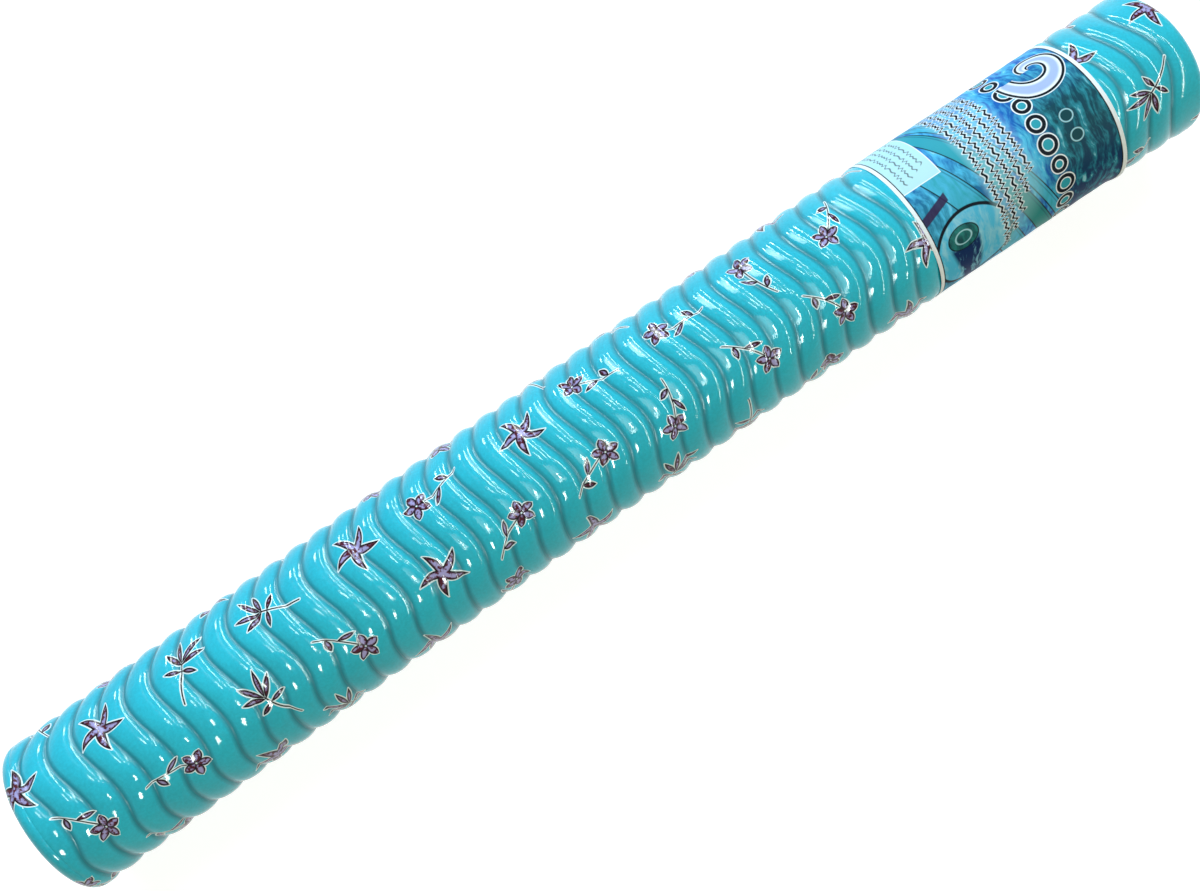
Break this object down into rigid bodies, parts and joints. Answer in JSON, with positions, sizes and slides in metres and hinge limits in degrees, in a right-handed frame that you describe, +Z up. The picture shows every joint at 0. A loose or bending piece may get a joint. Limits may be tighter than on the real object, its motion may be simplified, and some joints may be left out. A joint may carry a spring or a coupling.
{
  "type": "pool noodle",
  "caption": "Thick straight pool float with wave-shaped ribs, flat rounded ends, a glossy dipped vinyl skin over soft foam and a wrap label near one end.",
  "frame": {"origin": "on the floor under the middle of the lying noodle", "axes": "+X along the noodle towards the end with the label, +Z up, +Y towards the side that the noodle bows to"},
  "size_m": [1.168, 0.1455, 0.1383],
  "materials": {
    "closed_cell_foam": "matte closed-cell foam",
    "printed_vinyl": "glossy soft vinyl with a small scattered print",
    "vinyl_dab": "glossy soft vinyl",
    "label_film": "glossy printed film"
  },
  "bodies": {
    "root": {"foam_core": "closed_cell_foam", "vinyl_skin": "printed_vinyl", "dip_hole_plug": "vinyl_dab", "label_sleeve": "label_film"}
  },
  "joints": []
}
